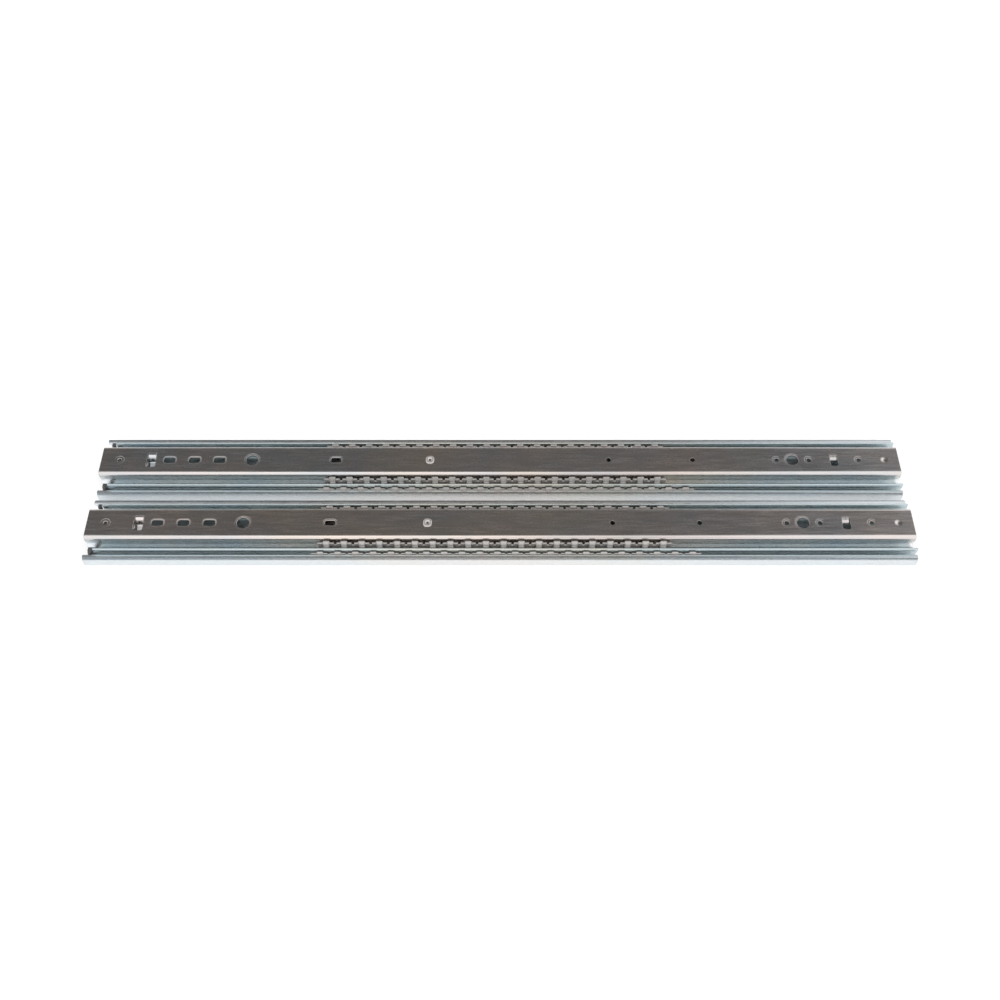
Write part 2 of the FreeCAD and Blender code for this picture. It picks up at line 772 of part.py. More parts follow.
os.makedirs("parts", exist_ok=True)
for part in parts:
    if part.Shape.isNull() or not part.Shape.isValid():
        raise RuntimeError(f"{part.Label} has no valid shape")
    part.Shape.exportStep(os.path.join("parts", f"{part.Label}.step"))
    box = part.Shape.BoundBox
    print(f"{part.Label}: {len(part.Shape.Solids)} solids, x {box.XMin:.2f} to {box.XMax:.2f}")
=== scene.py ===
import math
from typing import NamedTuple

import bpy
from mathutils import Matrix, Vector
from mathutils.geometry import tessellate_polygon


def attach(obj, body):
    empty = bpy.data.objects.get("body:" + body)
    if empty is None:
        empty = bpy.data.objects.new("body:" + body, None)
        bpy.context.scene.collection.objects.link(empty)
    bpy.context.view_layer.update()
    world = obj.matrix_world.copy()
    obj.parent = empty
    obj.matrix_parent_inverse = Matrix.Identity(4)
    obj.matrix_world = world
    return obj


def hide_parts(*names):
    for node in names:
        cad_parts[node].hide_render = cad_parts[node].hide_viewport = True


# A closed pair of three-section ball-bearing server rails in bright zinc plate.
# Sizes are in millimetres and become metres where a mesh is made.
# The rails lie along X, their fronts at +X, and the near one is at -Y.

MM = 0.001
SLIDES = (("near", -1), ("far", 1))
SLIDE_Y = 28.875

# Members, along the rail
HALF_LENGTH = 304.8
MIDDLE_REAR = -297.0
INNER_HALF = 304.0

# Outer member
OUTER_SHEET = 1.2
OUTER_HALF_WIDTH = 26.5
OUTER_BEND = 2.2
OUTER_CORNER = 0.05
OUTER_EDGE = 0.2
OUTER_LIP_TOP = 10.9
OUTER_LIP_BEND = 23.4
OUTER_LIP_RUN = 0.4

# Middle member
MIDDLE_SHEET = 1.5
MIDDLE_FLOOR = 3.1
MIDDLE_BEND = 1.25
MIDDLE_TOP = 14.7

# Inner member
INNER_SHEET = 1.8
WEB_TOP = 19.0
WEB_FLOOR = 17.2
INNER_BEND = 0.8
INNER_FLANGE_LAP = 0.95
INNER_LIP_RUN = 2.4
LIP_LEAN = math.radians(35)

# Balls
OUTER_BALL = 5.0
OUTER_BALL_Y = 22.1
OUTER_BALL_Z = 6.9
INNER_BALL = 6.0
INNER_BALL_Y = 15.5758
INNER_BALL_Z = 11.0
RACE_GAP = 0.3
PITCH = 12.95

# Features along X
ACCESS_X = (-188.9, 222.8)
RIMMED_X = (210.7, 235.3, 273.3)
PLAIN_X = (82.7, 146.7)
SLOTS_X = (-251.8, -232.75, -213.7)
SHORT_SLOT_X = -124.9
NECKED_X = -290.0
TONGUE_X = -265.7
HOOK_X = 254.4
DIMPLE_X = 292.8
RIVET_X = -53.3
STOP_X = -273.5
REAR_WINDOW_X = -289.2

# Fineness of the meshes
UP = math.pi / 2
SHARP = 38.0
EDGE_ROUND = 0.22
TIP_ROUND = 0.42
BEND_STEPS = 9
BALL_RINGS = 12
BALL_COLUMNS = 20
# Sine and cosine over a quarter turn, for small rounded edges
QUARTER = [(math.sin(UP * n / 3), math.cos(UP * n / 3)) for n in range(4)]

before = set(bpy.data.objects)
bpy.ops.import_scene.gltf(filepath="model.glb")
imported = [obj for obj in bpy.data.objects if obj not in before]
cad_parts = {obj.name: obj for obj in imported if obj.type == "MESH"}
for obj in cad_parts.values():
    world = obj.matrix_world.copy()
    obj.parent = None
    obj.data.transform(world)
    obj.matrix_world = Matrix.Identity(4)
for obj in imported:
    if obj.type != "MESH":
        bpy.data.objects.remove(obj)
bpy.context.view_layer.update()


# Materials

def new_material(name):
    """A node material with its node tree and its shader."""
    material = bpy.data.materials.new(name)
    material.use_nodes = True
    tree = material.node_tree
    return material, tree, tree.nodes["Principled BSDF"]


def add_node(tree, kind, **values):
    """A node with inputs set by name; names with a leading underscore are its own properties."""
    node = tree.nodes.new(kind)
    for name, value in values.items():
        if name.startswith("_"):
            setattr(node, name[1:], value)
        else:
            node.inputs[name.replace("_", " ")].default_value = value
    return node


def math_node(tree, operation, *values):
    """Result of a math node over sockets and plain numbers."""
    node = add_node(tree, "ShaderNodeMath", _operation=operation)
    for socket, value in zip(node.inputs, values):
        if isinstance(value, float):
            socket.default_value = value
        else:
            tree.links.new(value, socket)
    return node.outputs[0]


def split_axes(tree, vector):
    """The X, Y and Z of a vector."""
    node = add_node(tree, "ShaderNodeSeparateXYZ")
    tree.links.new(vector, node.inputs[0])
    return node.outputs


def object_place(tree):
    """The place in the object's own coordinates, in metres."""
    return add_node(tree, "ShaderNodeTexCoord").outputs["Object"]


def noise(tree, place, scale, detail=2.0, roughness=0.5):
    """Noise over a stretched place, shifted by each object's own random number."""
    mapping = add_node(tree, "ShaderNodeMapping", Scale=scale)
    tree.links.new(place, mapping.inputs["Vector"])
    own = add_node(tree, "ShaderNodeObjectInfo").outputs["Random"]
    texture = add_node(tree, "ShaderNodeTexNoise", _noise_dimensions="4D", Scale=1.0, Detail=detail,
                       Roughness=roughness)
    tree.links.new(mapping.outputs["Vector"], texture.inputs["Vector"])
    tree.links.new(math_node(tree, "MULTIPLY", own, 37.0), texture.inputs["W"])
    return texture.outputs["Fac"]


def ramp(tree, factor, stops):
    """A colour ramp over a factor, with (place, colour) stops."""
    node = add_node(tree, "ShaderNodeValToRGB")
    tree.links.new(factor, node.inputs["Fac"])
    elements = node.color_ramp.elements
    while len(elements) < len(stops):
        elements.new(0.5)
    for element, (place, colour) in zip(elements, stops):
        element.position = place
        element.color = (*colour, 1.0)
    return node.outputs["Color"]


def remap(tree, factor, low, high, start=0.3, end=0.7):
    """A factor spread from low to high between start and end."""
    node = add_node(tree, "ShaderNodeMapRange", From_Min=start, From_Max=end, To_Min=low, To_Max=high)
    tree.links.new(factor, node.inputs["Value"])
    return node.outputs["Result"]


def mix_colours(tree, mode, first, second, amount):
    """Two colours mixed by a mode, the amount a number or a factor."""
    node = add_node(tree, "ShaderNodeMix", _data_type="RGBA", _blend_type=mode)
    tree.links.new(first, node.inputs[6])
    tree.links.new(second, node.inputs[7])
    if isinstance(amount, float):
        node.inputs[0].default_value = amount
    else:
        tree.links.new(amount, node.inputs[0])
    return node.outputs[2]


def add_bump(tree, shader, height, strength, distance):
    """Fine relief from a height."""
    bump = add_node(tree, "ShaderNodeBump", Strength=strength, Distance=distance)
    tree.links.new(height, bump.inputs["Height"])
    tree.links.new(bump.outputs["Normal"], shader.inputs["Normal"])


# Zinc's interference tints, and the sizes of its clouds and films, for rolled walls and for the web
TINT_PLACES = (0.20, 0.28, 0.36, 0.48, 0.66)
ROLLED_TINTS = ((1.00, 0.95, 0.95), (1.00, 0.98, 0.92), (0.98, 1.00, 0.92), (0.90, 0.98, 0.98),
                (0.80, 0.94, 1.00))
WEB_TINTS = ((1.00, 0.93, 0.95), (1.00, 0.96, 0.90), (0.98, 0.95, 0.97), (0.97, 0.98, 1.00),
             (0.94, 0.97, 1.00))
ROLLED_CLOUDS = ((24.0, 52.0, 52.0), (7.0, 60.0, 90.0))
WEB_CLOUDS = ((15.0, 26.0, 26.0), (11.0, 24.0, 24.0))
CLOUD_STOPS = (0.34, 0.50, 0.66)
DRAWN_GRAIN = (22.0, 2600.0, 2600.0)
FINE_GRAIN = (60.0, 700.0, 700.0)
# Painted light and shade on the inner member's walls, by height, in the middle and towards its ends:
# lighter low on the walls where they lie in shade, and towards the ends a painted shade band just below the
# web's bend
PAINTED_SHADING_HEIGHTS = (8.0 * MM, 17.0 * MM)
PAINTED_SHADING_PLACES = (0.0, 0.25, 0.55, 0.82, 0.95)
MID_PAINTED_SHADING = ((1.2, 1.2, 1.18), (1.2, 1.2, 1.18), (1.1, 1.1, 1.08), (1.0, 1.0, 0.98), (1.0, 1.0, 1.0))
TAIL_PAINTED_SHADING = ((1.2, 1.3, 1.34), (1.2, 1.3, 1.34), (1.0, 1.08, 1.12), (0.72, 0.79, 0.82), (1.0, 1.0, 1.0))
PAINTED_SHADING_ENDS = (0.06, 0.2)
# Dust that dulls the middle member's web, below its walls
DUST = 0.55
DUST_HEIGHTS = (4.7 * MM, 5.2 * MM)


def zinc(name, warm, cool, rough, haze, scratch=0.03, drift=0.1, metal=1.0, dusty=False, web_tints_painted_shading=False):
    """Bright zinc plate over rolled steel: drawn along X, clouded, its tint drifting at the ends, with
    painted light and shade by height on the inner member's walls when asked.
    """
    tints = WEB_TINTS if web_tints_painted_shading else ROLLED_TINTS
    cloud_size, film_size = WEB_CLOUDS if web_tints_painted_shading else ROLLED_CLOUDS
    material, tree, shader = new_material(name)
    place = object_place(tree)
    axes = split_axes(tree, place)
    along = math_node(tree, "ABSOLUTE", axes["X"])

    cloud = noise(tree, place, cloud_size, 5.0, 0.62)
    between = tuple((a + b) / 2 for a, b in zip(warm, cool))
    body = ramp(tree, cloud, list(zip(CLOUD_STOPS, (warm, between, cool))))
    film = noise(tree, place, film_size)
    outward = remap(tree, along, 0.0, drift, 0.05, 0.2)
    shift = math_node(tree, "MULTIPLY_ADD", film, 0.6, outward)
    tint = ramp(tree, shift, list(zip(TINT_PLACES, tints)))
    tinted = mix_colours(tree, "MULTIPLY", body, tint, haze)
    drawn = noise(tree, place, DRAWN_GRAIN, 3.0, 0.65)
    streak = ramp(tree, drawn, [(0.30, (1.0 - scratch,) * 3), (0.70, (1.0, 1.0, 1.0))])
    colour = mix_colours(tree, "MULTIPLY", tinted, streak, 1.0)
    # Painted light and shade: the walls' colour is lightened low down and darkened just below the web's
    # bend towards the ends
    if web_tints_painted_shading:
        level = remap(tree, axes["Z"], 0.0, 1.0, *PAINTED_SHADING_HEIGHTS)
        middle = ramp(tree, level, list(zip(PAINTED_SHADING_PLACES, MID_PAINTED_SHADING)))
        tail = ramp(tree, level, list(zip(PAINTED_SHADING_PLACES, TAIL_PAINTED_SHADING)))
        ends = remap(tree, along, 0.0, 1.0, *PAINTED_SHADING_ENDS)
        painted_shading = mix_colours(tree, "MIX", middle, tail, ends)
        colour = mix_colours(tree, "MULTIPLY", colour, painted_shading, 1.0)
    tree.links.new(colour, shader.inputs["Base Color"])

    if dusty:
        cover = remap(tree, axes["Z"], metal - DUST, metal, *DUST_HEIGHTS)
        tree.links.new(cover, shader.inputs["Metallic"])
    elif metal < 1.0:
        tree.links.new(remap(tree, cloud, metal, min(metal + 0.1, 1.0)), shader.inputs["Metallic"])
    else:
        shader.inputs["Metallic"].default_value = metal
    grain = noise(tree, place, FINE_GRAIN)
    tree.links.new(remap(tree, grain, *rough), shader.inputs["Roughness"])
    add_bump(tree, shader, drawn, 0.03, 0.00004)
    return material


def polished(name, colour, dark, rough):
    """Hard polished steel with faint smears."""
    material, tree, shader = new_material(name)
    smear = noise(tree, object_place(tree), (420.0, 420.0, 420.0))
    tree.links.new(ramp(tree, smear, [(0.35, dark), (0.65, colour)]), shader.inputs["Base Color"])
    shader.inputs["Metallic"].default_value = 1.0
    tree.links.new(remap(tree, smear, rough, rough + 0.1), shader.inputs["Roughness"])
    return material


def rubber(name, dark, pale):
    """Dark matt rubber with a fine grain."""
    material, tree, shader = new_material(name)
    grain = noise(tree, object_place(tree), (900.0, 900.0, 900.0), 3.0, 0.6)
    tree.links.new(ramp(tree, grain, [(0.3, dark), (0.7, pale)]), shader.inputs["Base Color"])
    tree.links.new(remap(tree, grain, 0.55, 0.75), shader.inputs["Roughness"])
    add_bump(tree, shader, grain, 0.2, 0.00008)
    return material


INNER_ZINC = zinc("inner_zinc_plate", (0.74, 0.66, 0.61), (0.58, 0.59, 0.60), (0.20, 0.30), 0.6,
                  web_tints_painted_shading=True)
MIDDLE_ZINC = zinc("middle_zinc_plate", (0.66, 0.65, 0.63), (0.63, 0.66, 0.67), (0.22, 0.32), 0.8,
                   drift=0.4, metal=0.93, dusty=True)
OUTER_ZINC = zinc("outer_zinc_plate", (0.73, 0.72, 0.72), (0.72, 0.73, 0.75), (0.22, 0.32), 0.4,
                  drift=0.35, metal=0.97)
CAGE_STEEL = zinc("cage_zinc_strip", (0.59, 0.55, 0.53), (0.54, 0.53, 0.53), (0.36, 0.46), 0.2,
                  scratch=0.04, metal=0.5)
RIVET_STEEL = zinc("rivet_zinc", (0.62, 0.57, 0.55), (0.57, 0.55, 0.55), (0.36, 0.46), 0.2,
                   scratch=0.04, metal=0.6)
BALL_STEEL = polished("ball_chrome_steel", (0.48, 0.46, 0.45), (0.41, 0.41, 0.41), 0.42)
RUBBER = rubber("bumper_rubber_black", (0.075, 0.078, 0.08), (0.12, 0.12, 0.125))


# Shapes

class Shell:
    """Points and faces gathered for one mesh, with the flat faces kept apart."""

    def __init__(self):
        self.points = []
        self.faces = []
        self.flat = []

    def add(self, points):
        """Adds points and returns their numbers."""
        first = len(self.points)
        self.points.extend(points)
        return list(range(first, len(self.points)))

    def bridge(self, ring, other):
        """Faces between two closed rings of the same count."""
        for index in range(len(ring)):
            after = (index + 1) % len(ring)
            self.faces.append((ring[index], ring[after], other[after], other[index]))

    def stack(self, loops):
        """Rings from loops of points, each bridged to the next; returns the rings."""
        rings = [self.add(loop) for loop in loops]
        for ring, other in zip(rings, rings[1:]):
            self.bridge(ring, other)
        return rings

    def fill(self, loops, numbers, towards, axes=(0, 1)):
        """Flat triangles over loops drawn in two axes, turned towards +1 or -1."""
        first, second = axes
        for triangle in tessellate_polygon([[Vector((u, v, 0)) for u, v in loop] for loop in loops]):
            corners = tuple(numbers[index] for index in triangle)
            a, b, c = (self.points[corner] for corner in corners)
            turn = ((b[first] - a[first]) * (c[second] - a[second])
                    - (b[second] - a[second]) * (c[first] - a[first]))
            self.flat.append(corners if (turn > 0) == (towards > 0) else corners[::-1])

    def mesh(self, name, sharp=SHARP):
        """The mesh in metres of all that was gathered, its flat faces shaded flat."""
        mesh = bpy.data.meshes.new(name)
        points = [(x * MM, y * MM, z * MM) for x, y, z in self.points]
        mesh.from_pydata(points, [], self.faces + self.flat)
        mesh.validate(clean_customdata=False)
        mesh.update()
        smooth = [index < len(self.faces) for index in range(len(mesh.polygons))]
        mesh.polygons.foreach_set("use_smooth", smooth)
        mesh.set_sharp_from_angle(angle=math.radians(sharp))
        return mesh


def turned(heading):
    """Unit normal on the left of a heading."""
    return Vector((-math.sin(heading), math.cos(heading)))


def tangent_heading(first, second):
    """Heading of the straight run between two rollers."""
    across = second[0] - first[0]
    shift = second[2] * second[1] - first[2] * first[1]
    run = math.sqrt(across.length_squared - shift ** 2)
    return math.atan2(across.y, across.x) - math.atan2(shift, run)


def strip_side(rollers, last_heading, last_run, side):
    """Points along one face of a sheet bent round rollers, from the first bend of its level web on."""
    headings = [0.0]
    for first, second in zip(rollers, rollers[1:]):
        headings.append(tangent_heading(first, second))
    headings.append(last_heading)
    points = []
    for (centre, radius, turn), turn_in, turn_out in zip(rollers, headings, headings[1:]):
        reach = turn * radius - side
        for step in range(BEND_STEPS + 1):
            angle = turn_in + (turn_out - turn_in) * step / BEND_STEPS
            points.append(centre - turned(angle) * reach)
    tip = points[-1] + Vector((math.cos(last_heading), math.sin(last_heading))) * last_run
    points.append(tip)
    return points


def rounded_tip(first, second, radius):
    """The end of a sheet between its two faces, with both corners rounded."""
    before, corner_a = first[-2], first[-1]
    along = (corner_a - before).normalized()
    corner_b = second[-1]
    across = (corner_b - corner_a).normalized()
    points = []
    for sine, cosine in QUARTER:
        points.append(corner_a - along * radius * (1 - sine) + across * radius * (1 - cosine))
    for sine, cosine in QUARTER:
        points.append(corner_b - across * radius * (1 - sine) - along * radius * (1 - cosine))
    return first[:-1] + points + second[:-1][::-1]


def half_section(rollers, last_heading, last_run, thickness, inset):
    """Outline of one half of a rolled section, shrunk by inset, from web face to web face."""
    half = thickness / 2 - inset
    sides = [strip_side(rollers, last_heading, last_run - inset, side) for side in (half, -half)]
    return rounded_tip(sides[0], sides[1], TIP_ROUND * 2 * half)


def roller(y, z, radius, turn):
    """A roller that the middle of a sheet wraps: centre, radius and the way it turns."""
    return Vector((y, z)), radius, turn


def outer_section(inset):
    """Half the outer member's outline, its lip flat on top and turned down at its edge."""
    half = OUTER_SHEET / 2
    bend, corner, edge = (radius + half for radius in (OUTER_BEND, OUTER_CORNER, OUTER_EDGE))
    wall = OUTER_HALF_WIDTH - half
    lip = OUTER_LIP_TOP - half
    rollers = [
        roller(wall - bend, half + bend, bend, 1),
        roller(wall - corner, lip - corner, corner, 1),
        roller(OUTER_LIP_BEND, lip - edge, edge, 1),
    ]
    return half_section(rollers, math.pi + LIP_LEAN, OUTER_LIP_RUN, OUTER_SHEET, inset)


def middle_section(inset):
    """Half the middle member's outline, its wall wrapped round both rows of balls."""
    half = MIDDLE_SHEET / 2
    outer_groove = OUTER_BALL / 2 + RACE_GAP + half
    inner_groove = INNER_BALL / 2 + RACE_GAP + half
    bend = MIDDLE_BEND + half
    rollers = [
        roller(OUTER_BALL_Y - outer_groove - bend, MIDDLE_FLOOR + half + bend, bend, 1),
        roller(OUTER_BALL_Y, OUTER_BALL_Z, outer_groove, -1),
        roller(INNER_BALL_Y, INNER_BALL_Z, inner_groove, 1),
    ]
    return half_section(rollers, UP, MIDDLE_TOP - INNER_BALL_Z, MIDDLE_SHEET, inset)


def inner_section(inset):
    """Half the inner member's outline, its wall wrapped round the inner balls."""
    half = INNER_SHEET / 2
    groove = INNER_BALL / 2 + RACE_GAP + half
    bend = INNER_BEND + half
    flange = INNER_BALL_Y - INNER_BALL / 2 - RACE_GAP + INNER_FLANGE_LAP - half
    rollers = [
        roller(flange - bend, WEB_TOP - half - bend, bend, -1),
        roller(INNER_BALL_Y, INNER_BALL_Z, groove, 1),
    ]
    return half_section(rollers, LIP_LEAN - UP, INNER_LIP_RUN, INNER_SHEET, inset)


# Holes: an outline as a function of its widening, and a wall of (widening, height) steps

HOLE_EDGE = 0.12
# The sunk rim round a hole: (in from its border, down) steps, then (widening, down) steps
RIM_BORDER = ((0.0, 0.0), (0.05, 0.01), (0.17, 0.09), (0.22, 0.1), (0.3, 0.1))
RIM_MOUTH = ((0.4, 0.1), (0.32, 0.1), (0.22, 0.12), (0.08, 0.2), (0.0, 0.35))
NECK_WALL = 0.6


def circle(x, diameter, count=48):
    """Outline of a round hole."""
    def outline(widen):
        radius = diameter / 2 + widen
        return [(x + radius * math.cos(2 * math.pi * n / count), radius * math.sin(2 * math.pi * n / count))
                for n in range(count)]
    return outline


def rounded(x, length, width, corner, count=9):
    """Outline of a rectangular opening with round corners."""
    def outline(widen):
        radius = max(corner + widen, 0.01)
        half_x = length / 2 + widen - radius
        half_y = width / 2 + widen - radius
        points = []
        for quarter, (sign_x, sign_y) in enumerate(((1, 1), (-1, 1), (-1, -1), (1, -1))):
            for step in range(count):
                angle = (quarter + step / (count - 1)) * UP
                points.append((x + sign_x * half_x + radius * math.cos(angle),
                               sign_y * half_y + radius * math.sin(angle)))
        return points
    return outline


def punched(top, floor, rim=0.0):
    """Wall of a punched hole, with a thin sunk rim of the given width round it."""
    if rim:
        steps = [(rim - inward, top - down) for inward, down in RIM_BORDER]
        steps += [(widen, top - down) for widen, down in RIM_MOUTH]
    else:
        steps = [(HOLE_EDGE * (1 - sine), top - HOLE_EDGE * (1 - cosine)) for sine, cosine in QUARTER]
    steps += [(HOLE_EDGE * (1 - cosine), floor + HOLE_EDGE * (1 - sine)) for sine, cosine in QUARTER]
    return steps


def necked(top, floor, rim, depth):
    """Wall of a hole whose edge is drawn down into a neck below the web."""
    end = floor - depth
    return punched(top, end, rim) + [(0.5, end), (NECK_WALL, end + 0.1), (NECK_WALL, floor)]


def inner_holes():
    """Holes, slots and lance openings of the inner web."""
    plain = punched(WEB_TOP, WEB_FLOOR)
    holes = [(circle(x, 3.6), punched(WEB_TOP, WEB_FLOOR, 1.7)) for x in RIMMED_X]
    holes.append((circle(NECKED_X, 3.0), necked(WEB_TOP, WEB_FLOOR, 2.2, 2.4)))
    holes += [(circle(x, 9.2, 64), punched(WEB_TOP, WEB_FLOOR, 1.4)) for x in ACCESS_X]
    holes += [(circle(x, 3.8), plain) for x in PLAIN_X]
    holes += [(rounded(x, 8.8, 5.2, 1.8), punched(WEB_TOP, WEB_FLOOR, 0.9)) for x in SLOTS_X]
    holes.append((rounded(SHORT_SLOT_X, 7.6, 4.2, 1.4), punched(WEB_TOP, WEB_FLOOR, 1.3)))
    holes.append((rounded(TONGUE_X, 7.0, 13.0, 1.2), plain))
    holes.append((rounded(HOOK_X, 6.0, 11.5, 2.2), plain))
    return holes


def dimple(x, diameter, depth, steps=6):
    """A shallow bowl pressed into the web, as an outline and the steps of its wall."""
    bowl = []
    for n in range(steps + 1):
        part = n / steps
        bowl.append((-0.97 * diameter / 2 * part, WEB_TOP - depth * math.sin(part * UP) ** 2))
    return circle(x, diameter), bowl


def loft_section(shell, rear, front, section):
    """Lofts section(inset), half an outline, from rear to front and leaves the web's faces open."""
    steps = [(EDGE_ROUND * (1 - sine), EDGE_ROUND * (1 - cosine)) for sine, cosine in QUARTER]
    ends = [(rear + x, inset) for x, inset in steps[::-1]]
    ends += [(front - x, inset) for x, inset in steps]
    rings = []
    for x, inset in ends:
        half = section(inset)
        rings.append(shell.add([(x, p.x, p.y) for p in half] + [(x, -p.x, p.y) for p in half[::-1]]))
    count = len(rings[0])
    web_faces = (count // 2 - 1, count - 1)
    for number, (ring, other) in enumerate(zip(rings, rings[1:])):
        for index in range(count):
            if number == len(steps) - 1 and index in web_faces:
                continue
            after = (index + 1) % count
            quad = (ring[index], other[index], other[after], ring[after])
            (shell.flat if index in web_faces else shell.faces).append(quad)
    for ring, towards in ((rings[0], -1), (rings[-1], 1)):
        outline = [shell.points[number][1:] for number in ring]
        shell.fill([outline], ring, towards, (1, 2))


def member(name, rear, front, section, holes, top, floor, dimples=()):
    """A rolled member along X, its web pierced by holes and pressed with dimples.

    Each hole or dimple is an outline and the steps of its wall.
    """
    shell = Shell()
    loft_section(shell, rear, front, section)
    half_y = section(0.0)[0].x
    low_x, high_x = rear + EDGE_ROUND, front - EDGE_ROUND
    border = [(low_x, -half_y), (high_x, -half_y), (high_x, half_y), (low_x, half_y)]
    for level, end, towards in ((top, 0, 1), (floor, -1, -1)):
        loops = [border]
        loops += [outline(wall[end][0]) for outline, wall in holes]
        loops += [outline(wall[0][0]) for outline, wall in dimples]
        numbers = shell.add([(x, y, level) for loop in loops for x, y in loop])
        shell.fill(loops, numbers, towards)
    for outline, wall in holes:
        shell.stack([[(x, y, z) for x, y in outline(widen)] for widen, z in wall])
    for outline, wall in dimples:
        loops = [[(x, y, z) for x, y in outline(widen)] for widen, z in wall]
        shell.faces.append(tuple(shell.stack(loops)[-1]))
        below = [[(x, y, z + floor - top) for x, y, z in loop[::-1]] for loop in loops]
        shell.faces.append(tuple(shell.stack(below)[-1]))
    return shell.mesh(name)


def prism_along_x(name, rear, front, loop_at, edge=0.15):
    """A closed YZ outline lofted along X with rounded ends; loop_at(inset) gives the outline."""
    shell = Shell()
    ends = [(rear, edge), (rear + 0.3 * edge, 0.3 * edge), (rear + edge, 0.0),
            (front - edge, 0.0), (front - 0.3 * edge, 0.3 * edge), (front, edge)]
    rings = shell.stack([[(x, y, z) for y, z in loop_at(inset)] for x, inset in ends])
    shell.flat.append(tuple(rings[0][::-1]))
    shell.flat.append(tuple(rings[-1]))
    return shell.mesh(name)


def box_loop(low_y, low_z, high_y, high_z, corner=0.3):
    """A rounded rectangle in the YZ plane as a function of its inset."""
    def loop(inset):
        radius = max(corner - inset, 0.02)
        points = []
        corners = ((high_y, high_z), (low_y, high_z), (low_y, low_z), (high_y, low_z))
        for quarter, (y, z) in enumerate(corners):
            sign_y = 1 if y == high_y else -1
            sign_z = 1 if z == high_z else -1
            for step in range(4):
                angle = (quarter + step / 3) * UP
                points.append((y - sign_y * (inset + radius) + radius * math.cos(angle),
                               z - sign_z * (inset + radius) + radius * math.sin(angle)))
        return points
    return loop


def turned_shape(name, x, steps, count=40, lobes=0, wave=0.0, stretch=1.0):
    """A shape turned about a vertical axis from (radius, height) steps.

    Its rim may be waved in lobes, and stretched across the rail.
    """
    shell = Shell()
    loops = []
    for radius, z in steps:
        loop = []
        for n in range(count):
            angle = 2 * math.pi * n / count
            reach = radius * (1 + wave * math.cos(lobes * angle))
            loop.append((x + reach * math.cos(angle), stretch * reach * math.sin(angle), z))
        loops.append(loop)
    rings = shell.stack(loops)
    shell.faces.append(tuple(rings[0][::-1]))
    shell.faces.append(tuple(rings[-1]))
    return shell.mesh(name, 50.0)


def joined(name, meshes):
    """One mesh from several."""
    points, faces, smooth = [], [], []
    for mesh in meshes:
        first = len(points)
        points.extend(tuple(vertex.co) for vertex in mesh.vertices)
        for polygon in mesh.polygons:
            faces.append([first + index for index in polygon.vertices])
            smooth.append(polygon.use_smooth)
    result = bpy.data.meshes.new(name)
    result.from_pydata(points, [], faces)
    result.polygons.foreach_set("use_smooth", smooth)
    result.set_sharp_from_angle(angle=math.radians(SHARP))
    result.update()
    for mesh in meshes:
        bpy.data.meshes.remove(mesh)
    return result


# Lances: the tongue and the hook cut out of the inner web

LANCE_HALF = (INNER_SHEET - 0.06) / 2
LANCE_BEND = 1.2 + INNER_SHEET / 2
LANCE_STEPS = 7
LANCE_LAP = 0.6
LANCE_EDGE = 0.14
LANCE_RIM_COUNT = 24


def lance_ring(x, place, turn, wide):
    """Eight points across a lance, with its long edges bevelled."""
    narrow, high, low = wide - LANCE_EDGE, LANCE_HALF, LANCE_HALF - LANCE_EDGE
    corners = [(-wide, low), (-narrow, high), (narrow, high), (wide, low)]
    corners += [(across, -lift) for across, lift in corners[::-1]]
    ring = []
    for across, lift in corners:
        point = place + turned(turn) * lift
        ring.append((x + across, point.x, point.y))
    return ring


def pierced_faces(shell, x, half_wide, first, last, turn, hole_radius):
    """Both faces of a straight stretch of a lance, with one round hole through its middle."""
    along = last - first
    length = along.length
    along.normalize()
    border = [(-half_wide, 0.0), (half_wide, 0.0), (half_wide, length), (-half_wide, length)]
    hole = []
    for n in range(LANCE_RIM_COUNT):
        angle = 2 * math.pi * n / LANCE_RIM_COUNT
        hole.append((hole_radius * math.cos(angle), length / 2 + hole_radius * math.sin(angle)))
    edges = []
    for level in (LANCE_HALF, -LANCE_HALF):
        points = []
        for across, down in border + hole:
            place = first + along * down + turned(turn) * level
            points.append((x + across, place.x, place.y))
        numbers = shell.add(points)
        shell.fill([border, hole], numbers, level)
        edges.append(numbers[len(border):])
    shell.bridge(edges[1], edges[0])


def lance(name, x, width, opening, run, lean, steep, slope, foot, foot_share, hole_radius):
    """A lance bent down out of the inner web from the far edge of its opening.

    After its run it turns down to a lean, goes straight for the length steep, turns to a slope
    and ends in a foot. Its steep stretch is pierced, and its foot has a share of its width.
    """
    spot = Vector((opening / 2 + LANCE_LAP, WEB_TOP - INNER_SHEET / 2))
    stations = [(spot.copy(), 0.0, 1.0)]
    spot.x = opening / 2 - run
    stations.append((spot.copy(), 0.0, 1.0))
    angle = 0.0
    for turn_to, straight, share in ((lean, steep, 1.0), (slope, foot, foot_share)):
        start = angle
        for n in range(1, LANCE_STEPS + 1):
            after = start + (turn_to - start) * n / LANCE_STEPS
            middle = (angle + after) / 2
            reach = 2 * LANCE_BEND * math.sin(abs(after - angle) / 2)
            spot += Vector((-math.cos(middle), -math.sin(middle))) * reach
            angle = after
            stations.append((spot.copy(), angle, 1 - (1 - share) * n / LANCE_STEPS))
        spot += Vector((-math.cos(angle), -math.sin(angle))) * straight
        stations.append((spot.copy(), angle, share))
    pierced = 1 + LANCE_STEPS
    shell = Shell()
    rings = [shell.add(lance_ring(x, place, turn, width / 2 * share)) for place, turn, share in stations]
    for number, (ring, other) in enumerate(zip(rings, rings[1:])):
        for index in range(8):
            if number == pierced and index in (1, 5):
                continue
            after = (index + 1) % 8
            shell.faces.append((ring[index], other[index], other[after], ring[after]))
    shell.flat.append(tuple(rings[0]))
    shell.flat.append(tuple(rings[-1][::-1]))
    (first, turn, _), (last, _, _) = stations[pierced], stations[pierced + 1]
    pierced_faces(shell, x, width / 2 - LANCE_EDGE, first, last, turn, hole_radius)
    return shell.mesh(name)


# Ball cages and balls

